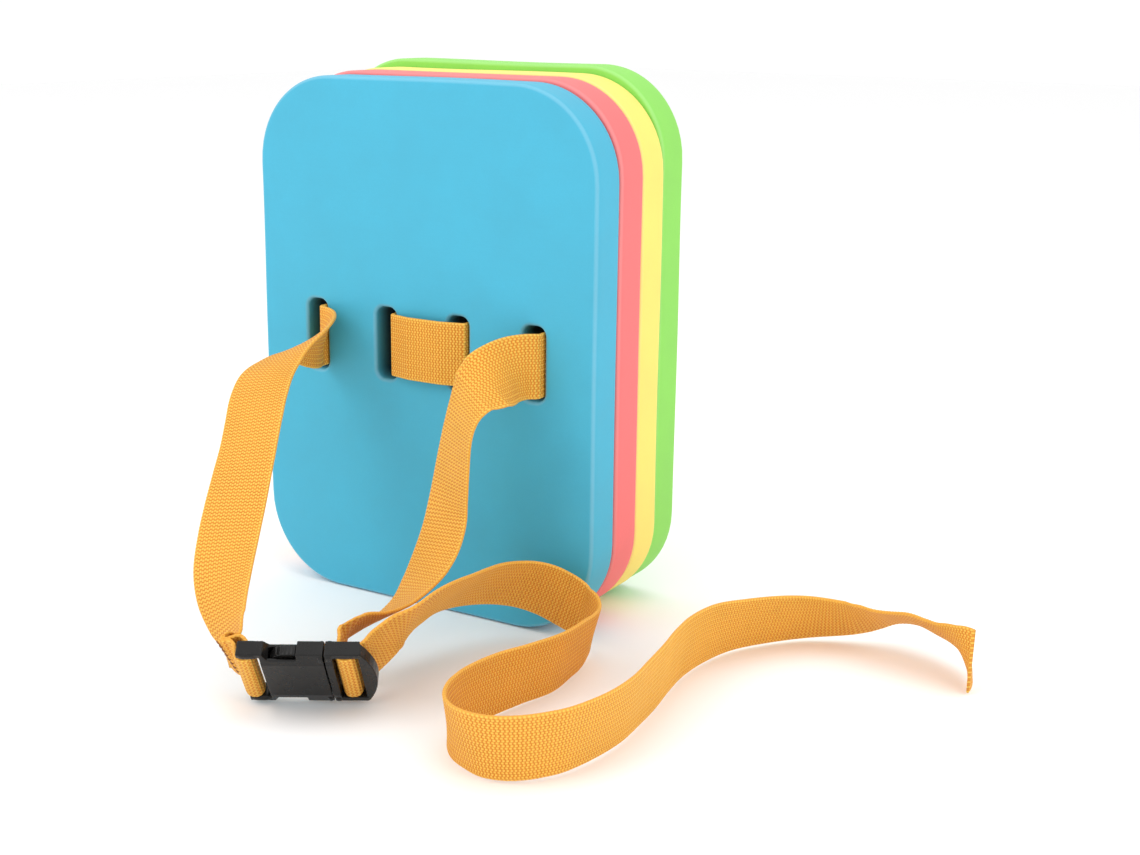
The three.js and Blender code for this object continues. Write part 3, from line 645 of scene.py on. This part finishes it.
def foam_finish(name, color):
    """Closed-cell foam: fine cells and a soft mottling in the colour, a painted highlight that makes the
    rounded edge paler, painted shade that darkens the slot walls with depth, and shallow skin marks."""
    n = Nodes(name)
    where = n.add("ShaderNodeTexCoord").outputs["Object"]
    cells = n.noise(where, 1500.0, 3.0, 0.6)
    mottle = n.noise(where, 38.0, 4.0, 0.55)
    stretched = n.add("ShaderNodeMapping", {"Vector": where, "Scale": (9.0, 40.0, 60.0)}).outputs[0]
    marks = n.noise(stretched, 3.0, 5.0, 0.6)
    rim = n.add("ShaderNodeAttribute", attribute_name="rim").outputs["Fac"]
    base = n.blend(n.spread(mottle, 0.3, 0.7, 0.0, 1.0), shade(color, 0.96), shade(color, 1.04))
    base = n.blend(n.spread(cells, 0.35, 0.65, 0.0, 0.25), base, shade(color, 0.9))
    # Pale and dark copies of the colour, for the painted highlight on the rounded edges and the painted shade
    # in the slots.
    pale, slot_shade_colour = ([c * 0.6 + 0.4 for c in color[:3]], [c * c * 0.10 for c in color[:3]])
    # Painted highlight on the rounded edges.
    base = n.blend(n.math("MULTIPLY", rim, 0.22), base, shade(pale, 1.0))
    # Painted shade: the slots' walls darken as they go deeper into the stack.
    wall = n.add("ShaderNodeAttribute", attribute_name="slot_wall").outputs["Fac"]
    depth = n.math("ABSOLUTE", n.add("ShaderNodeSeparateXYZ", {"Vector": where}).outputs[1])
    painted_slot_shade = n.math("MULTIPLY", wall, n.spread(depth, SLOT_LIGHT_Y, SLOT_DARK_Y, 0.0, 0.94))
    base = n.blend(painted_slot_shade, base, shade(slot_shade_colour, 1.0))
    fine = n.bump(cells, 0.12, 0.0002)
    skin = n.bump(marks, 0.10, 0.0012, fine)
    rough = n.spread(mottle, 0.3, 0.7, 0.58, 0.70)
    material = n.finish(Base_Color=base, Roughness=rough, Normal=skin)
    n.shader.inputs["Specular IOR Level"].default_value = 0.35
    n.shader.inputs["Sheen Weight"].default_value = 0.06
    n.shader.inputs["Sheen Roughness"].default_value = 0.5
    return material


def webbing_finish(name, color, width, pitch):
    """Woven webbing on the strip's own UV, u across and v along: ribs of the weft every pitch, warp
    yarns side by side that stagger each rib in turn, a painted highlight that makes the crowns yellower,
    painted shade that darkens the hollows, paler selvedges, and fuzz."""
    n = Nodes(name)
    split = n.add("ShaderNodeSeparateXYZ", {"Vector": n.add("ShaderNodeUVMap", uv_map="UVMap").outputs[0]})
    across, along = split.outputs[0], split.outputs[1]
    yarn = n.math("MULTIPLY", across, 1.0 / (YARN_WIDTH * MM))
    column = n.math("FLOOR", yarn)
    offset = n.math("MULTIPLY", n.math("PINGPONG", column, 1.0), YARN_STAGGER)
    row = n.math("ADD", n.math("MULTIPLY", along, 1.0 / (pitch * MM)), offset)
    rib = n.math("ABSOLUTE", n.math("COSINE", n.math("MULTIPLY", row, math.pi)))
    warp = n.math("ABSOLUTE", n.math("SINE", n.math("MULTIPLY", yarn, math.pi)))
    weave = n.math("MULTIPLY", n.math("POWER", rib, 0.8), n.math("POWER", warp, 0.38))
    where = n.add("ShaderNodeTexCoord").outputs["Object"]
    fuzz = n.noise(where, 2600.0, 2.0, 0.6)
    tone = n.noise(where, 55.0, 3.0, 0.5)
    height = n.math("ADD", weave, n.math("MULTIPLY", fuzz, 0.3))
    half = width * MM / 2
    from_middle = n.math("ABSOLUTE", n.math("SUBTRACT", across, half))
    selvedge = n.spread(from_middle, half - 0.0017, half - 0.0004, 0.0, 1.0)
    # Painted shade: the weave's hollows are darkened.
    hollow_shade = n.spread(weave, 0.15, 0.75, 1.0, 0.0)
    red, green, blue = color[:3]
    base = n.blend(n.spread(tone, 0.3, 0.7, 0.0, 1.0), shade(color, 0.95), shade(color, 1.05))
    # Painted highlight: the ribs' crowns are made lighter and yellower.
    crown_highlight = n.spread(weave, 0.55, 0.95, 0.0, 0.8)
    base = n.blend(crown_highlight, base, (red, green * 1.32, blue * 2.2, 1.0))
    base = n.blend(n.math("MULTIPLY", hollow_shade, 0.85), base, (red * 0.72, green * 0.38, blue * 0.15, 1.0))
    pale = (min(1, red * 1.1), green * 1.35, blue * 2.2, 1.0)
    base = n.blend(n.math("MULTIPLY", selvedge, 0.35), base, pale)
    rough = n.spread(fuzz, 0.3, 0.7, 0.5, 0.7)
    material = n.finish(Base_Color=base, Roughness=rough, Normal=n.bump(height, 0.75, 0.0004))
    n.shader.inputs["Specular IOR Level"].default_value = 0.35
    n.shader.inputs["Sheen Weight"].default_value = 0.04
    n.shader.inputs["Sheen Roughness"].default_value = 0.4
    return material


def plastic_finish(name, color):
    """Moulded black plastic: a slight orange peel, and roughness that wanders a little, as handling
    leaves it."""
    n = Nodes(name)
    where = n.add("ShaderNodeTexCoord").outputs["Object"]
    grain = n.noise(where, 900.0, 3.0, 0.6)
    wear = n.noise(where, 110.0, 4.0, 0.6)
    base = n.blend(n.spread(wear, 0.35, 0.75, 0.0, 1.0), shade(color, 0.85), shade(color, 1.2))
    rough = n.spread(wear, 0.3, 0.7, 0.20, 0.32)
    material = n.finish(Base_Color=base, Roughness=rough, Normal=n.bump(grain, 0.06, 0.00025))
    n.shader.inputs["Specular IOR Level"].default_value = 0.28
    return material


def thread_finish(name, color):
    """Twisted sewing thread: slanting strands in the colour and the bump."""
    n = Nodes(name)
    where = n.add("ShaderNodeTexCoord").outputs["Object"]
    inputs = {"Vector": where, "Scale": 900.0, "Distortion": 1.5}
    twist = n.add("ShaderNodeTexWave", inputs, bands_direction="DIAGONAL").outputs["Fac"]
    base = n.blend(twist, shade(color, 0.7), shade(color, 1.1))
    return n.finish(Base_Color=base, Roughness=0.6, Normal=n.bump(twist, 0.3, 0.0002))


def dress(obj, material):
    """Gives a piece its one material."""
    obj.data.materials.clear()
    obj.data.materials.append(material)


# ---- Sizes and colours ----
def measure(label, text, value):
    """A length in metres."""
    return FloatProperty(
        name=label, description=text, default=value, subtype="DISTANCE", unit="LENGTH", precision=5)


def tint(label, text, value):
    """A colour in linear light."""
    return FloatVectorProperty(
        name=label, description=text, default=value, subtype="COLOR", size=3, min=0, max=1)


class FloatSizes(bpy.types.PropertyGroup):
    """Sizes of the sheets, the belt and the buckle's skin."""

    sheet_width: measure("Sheet width", "Width of each foam sheet", 0.190)
    corner_radius: measure("Corner radius", "Radius of the sheets' corners", 0.043)
    edge_radius: measure("Edge radius", "Rounding of the foam's cut edges", 0.0018)
    webbing_width: measure("Webbing width", "Width of the belt", 0.030)
    webbing_thickness: measure("Webbing thickness", "Thickness of the belt", 0.0014)
    rib_pitch: measure("Rib pitch", "Distance between the weave's cross ribs", 0.0016)
    rib_depth: measure("Rib depth", "Height of the weave's cross ribs", 0.00026)
    moulding_fineness: measure("Moulding fineness", "Voxel of the buckle's skin", 0.00026)
    smoothing: IntProperty(
        name="Easing", description="Smoothing passes on the mouldings", default=5, min=0, max=20)


class FloatColours(bpy.types.PropertyGroup):
    """Colours of the pieces and the floor."""

    blue: tint("Blue foam", "Colour of the front sheet", (0.060, 0.42, 0.60))
    coral: tint("Coral foam", "Colour of the second sheet", (0.86, 0.17, 0.17))
    yellow: tint("Yellow foam", "Colour of the third sheet", (0.90, 0.73, 0.16))
    green: tint("Green foam", "Colour of the back sheet", (0.25, 0.66, 0.10))
    webbing: tint("Webbing", "Colour of the belt", (0.88, 0.43, 0.045))
    thread: tint("Thread", "Colour of the sewing thread", (0.30, 0.10, 0.03))
    plastic: tint("Buckle", "Colour of the moulded plastic", (0.008, 0.0075, 0.007))
    floor: tint("Floor", "Colour of the ground", (0.97, 0.97, 0.97))


def named_colour(context, key):
    """The colour property of that name, as a plain tuple."""
    return tuple(getattr(context.scene.float_colours, key))


def stand(right, up, back, place):
    """The placing matrix of a camera or a light from its axes and its place in metres."""
    rows = np.vstack([np.array([right, up, back, place]).T, [0, 0, 0, 1]])
    return Matrix(rows.tolist())


class FLOAT_OT_camera(bpy.types.Operator):
    """Adds the camera: its axes come from a yaw about Z, a pitch and a small roll."""

    bl_idname = "backfloat.camera"
    bl_label = "Camera"

    def execute(self, context):
        yaw, pitch, roll = np.radians(CAMERA_YAW_PITCH_ROLL)
        back = np.array([np.sin(yaw) * np.cos(pitch), -np.cos(yaw) * np.cos(pitch), np.sin(pitch)])
        level = np.array([np.cos(yaw), np.sin(yaw), 0.0])
        upright = np.cross(back, level)
        right = np.cos(roll) * level + np.sin(roll) * upright
        up = np.cos(roll) * upright - np.sin(roll) * level
        data = bpy.data.cameras.new("camera")
        data.lens, data.sensor_width = CAMERA_LENS, 36.0
        data.clip_start, data.clip_end = 0.01, 50.0
        camera = bpy.data.objects.new("camera", data)
        context.scene.collection.objects.link(camera)
        camera.matrix_world = stand(right, up, back, CAMERA_PLACE)
        context.scene.camera = camera
        return {"FINISHED"}


class FLOAT_OT_buckle(bpy.types.Operator):
    """Adds the buckle's four mouldings: socket, plug and two release arms with ridged pads."""

    bl_idname = "backfloat.buckle"
    bl_label = "Buckle"

    def execute(self, context):
        fine = context.scene.float_sizes.moulding_fineness / MM
        passes = context.scene.float_sizes.smoothing
        finish = plastic_finish("moulded_plastic", named_colour(context, "plastic"))
        # Each bar is its low and its high corner, a, b, c in the buckle's frame.
        lugs = [((0.2, b - 1.7, -3.9), (8.6, b + 1.7, 3.9)) for b in (16.8, -16.8)]
        collar = [((33.2, b - 2.2, -4.5), (35.4, b + 2.2, 4.5)) for b in (15.6, -15.6)]
        socket = moulding("socket_moulding", "buckle_socket", lugs + collar, fine, passes)
        teeth = [((42.2, b - 0.5, 1.1), (43.4, b + 0.5, 2.1)) for b in np.arange(-12.5, 13, 2.5)]
        shoulder = [((36.2, b - 2.0, -4.3), (39.0, b + 2.0, 4.3)) for b in (16.2, -16.2)]
        plug = moulding("plug_moulding", "buckle_plug", teeth + shoulder, fine, passes)
        arms = []
        for side, node, label in ((1, "release_arm_upper", "upper"), (-1, "release_arm_lower", "lower")):
            low, high = sorted((side * 15.6, side * 17.45))
            ridges = [((a - 0.42, low, -2.25), (a + 0.42, high, 2.25)) for a in (16.4, 18.0, 19.6, 21.2, 22.8)]
            name = f"release_arm_{label}_moulding"
            arms.append(moulding(name, node, ridges, fine * 0.8, max(2, passes - 2)))
        nodes = ("buckle_socket", "buckle_plug", "release_arm_upper", "release_arm_lower")
        bodies = ("root", "plug", "arm_upper", "arm_lower")
        for obj, node, body in zip((socket, plug, *arms), nodes, bodies):
            dress(obj, finish)
            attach(obj, body)
            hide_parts(node)
        return {"FINISHED"}


class FLOAT_OT_webbing(bpy.types.Operator):
    """Adds the belt in four strips on one continuous weave, and its sewn end's thread."""

    bl_idname = "backfloat.webbing"
    bl_label = "Webbing"

    def execute(self, context):
        sizes = context.scene.float_sizes
        lengths = (sizes.webbing_width, sizes.webbing_thickness, sizes.rib_pitch, sizes.rib_depth)
        weave = [v / MM for v in lengths]
        finish = webbing_finish("woven_webbing", named_colour(context, "webbing"), weave[0], weave[2])

        left = Route([*LEFT_STRAP, *in_buckle(SOCKET_WRAP), *FOLDED_END])
        strap = webbing_strip("left_strap", left, 0, left.length, *weave)
        threaded = Route(level_rows(THREADED_CORNERS, 1.2))
        run = webbing_strip("threaded_run", threaded, 0, threaded.length, *weave)
        rows = [*RIGHT_STRAP, *in_buckle(PLUG_WRAP), *NEAR_TAIL]
        right = Route([*rows, *LOOSE_TAIL])
        cut = right.at_point(len(rows))
        adjusting = webbing_strip("adjusting_strap", right, 0, cut, *weave)
        tail = webbing_strip("loose_tail", right, cut, right.length, *weave)
        for obj in (strap, run, adjusting, tail):
            dress(obj, finish)
            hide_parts(f"webbing_{obj.name}")
        for obj in (strap, run, tail):
            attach(obj, "root")
        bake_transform(adjusting)

        def middle(route, start, end):
            """The middle line in metres from arc length start to end, a point every 4 mm or so."""
            return route.frames(np.linspace(start, end, int((end - start) / 4) + 2))[0] * MM

        path = middle(left, 0, left.length)
        path = middle(right, 0, cut)
        path = middle(right, cut, right.length)
        self.stitches(context, left)
        return {"FINISHED"}

    def stitches(self, context, left):
        """A zigzag of thread across the folded end: up and down between two lines 3 mm apart, on the
        outer ply, and sunk a little where it turns."""
        place, _, across, up = left.frames(np.array([left.length - 4.0, left.length - 1.2]))
        turns = 14
        t = np.linspace(0, turns, turns * 8 + 1)
        saw = np.abs((t % 2) - 1)[:, None]
        side = (t / turns - 0.5)[:, None] * 25
        line = place[0] * (1 - saw) + place[1] * saw + across[0] * side
        lift = -(0.7 + 0.38 - 0.25 * np.cos(2 * np.pi * t)[:, None] ** 8)
        obj = thread("sewing_thread", line + up[0] * lift, THREAD_RADIUS)
        dress(obj, thread_finish("sewing_thread", named_colour(context, "thread")))
        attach(obj, "root")
        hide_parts("loop_stitching")


class FLOAT_OT_foam(bpy.types.Operator):
    """Adds the four foam sheets, each with its own height and a slight unevenness."""

    bl_idname = "backfloat.foam"
    bl_label = "Foam sheets"

    def execute(self, context):
        sizes = context.scene.float_sizes
        for seed, (label, height, shift, front, back, front_wave, back_wave) in enumerate(SHEETS, 1):
            obj = foam_sheet(
                f"{label}_sheet", height, shift, front, back, front_wave, back_wave,
                sizes.sheet_width / MM, sizes.corner_radius / MM, sizes.edge_radius / MM, seed,
            )
            dress(obj, foam_finish(f"foam_{label}", named_colour(context, label)))
            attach(obj, "root")
            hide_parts(f"foam_sheet_{label}")
        return {"FINISHED"}


class FLOAT_OT_stage(bpy.types.Operator):
    """Adds the pale floor, the soft lights and the even sky."""

    bl_idname = "backfloat.stage"
    bl_label = "Stage"

    def execute(self, context):
        corners = np.array([[-4, -4, FLOOR_Z], [4, -4, FLOOR_Z], [4, 6, FLOOR_Z], [-4, 6, FLOOR_Z]])
        floor = piece("floor", corners, np.array([[0, 1, 2, 3]]))
        n = Nodes("floor_paper")
        where = n.add("ShaderNodeTexCoord").outputs["Object"]
        grain = n.noise(where, 300.0)
        color = named_colour(context, "floor")
        paper = n.blend(grain, shade(color, 0.995), shade(color, 1.0))
        floor.data.materials.append(n.finish(Base_Color=paper, Roughness=0.9))
        lights = (
            # name, place, size and watts
            ("key_light", (-0.9, -1.3, 1.5), 1.2, 11.0),
            ("side_light", (1.6, -0.5, 1.0), 1.2, 6.0),
            ("top_light", (0.1, 0.2, 1.9), 1.6, 6.0),
        )
        for name, place, size, power in lights:
            data = bpy.data.lights.new(name, "AREA")
            data.shape, data.size, data.energy = "SQUARE", size, power
            lamp = bpy.data.objects.new(name, data)
            context.scene.collection.objects.link(lamp)
            back = np.array(place) - LIT_POINT
            back /= np.linalg.norm(back)
            right = np.cross([0.0, 0.0, 1.0], back)
            right /= np.linalg.norm(right)
            lamp.matrix_world = stand(right, np.cross(back, right), back, place)
        world = bpy.data.worlds.new("even_sky")
        world.use_nodes = True
        sky = world.node_tree.nodes["Background"]
        sky.inputs["Color"].default_value = (1.0, 1.0, 1.0, 1.0)
        sky.inputs["Strength"].default_value = 1.02
        context.scene.world = world
        context.scene.view_settings.view_transform = "Standard"
        context.scene.view_settings.look = "None"
        return {"FINISHED"}


class FLOAT_PT_panel(bpy.types.Panel):
    """Lists the pieces with the sizes and colours they take."""

    bl_idname = "FLOAT_PT_panel"
    bl_label = "Back Float"
    bl_space_type = "VIEW_3D"
    bl_region_type = "UI"
    bl_category = "Back Float"

    def draw(self, context):
        column = self.layout.column()
        for group in (context.scene.float_sizes, context.scene.float_colours):
            for key in group.__annotations__:
                column.prop(group, key)
        for step in STEPS:
            column.operator(step.bl_idname)


STEPS = (FLOAT_OT_camera, FLOAT_OT_buckle, FLOAT_OT_webbing, FLOAT_OT_foam, FLOAT_OT_stage)
CLASSES = (FloatSizes, FloatColours, *STEPS, FLOAT_PT_panel)


def register():
    for item in CLASSES:
        bpy.utils.register_class(item)
    bpy.types.Scene.float_sizes = PointerProperty(type=FloatSizes)
    bpy.types.Scene.float_colours = PointerProperty(type=FloatColours)


def unregister():
    del bpy.types.Scene.float_sizes
    del bpy.types.Scene.float_colours
    for item in reversed(CLASSES):
        bpy.utils.unregister_class(item)


def main():
    register()
    bpy.ops.backfloat.camera()
    bpy.ops.backfloat.buckle()
    bpy.ops.backfloat.webbing()
    bpy.ops.backfloat.foam()
    bpy.ops.backfloat.stage()


if __name__ == "__main__":
    main()
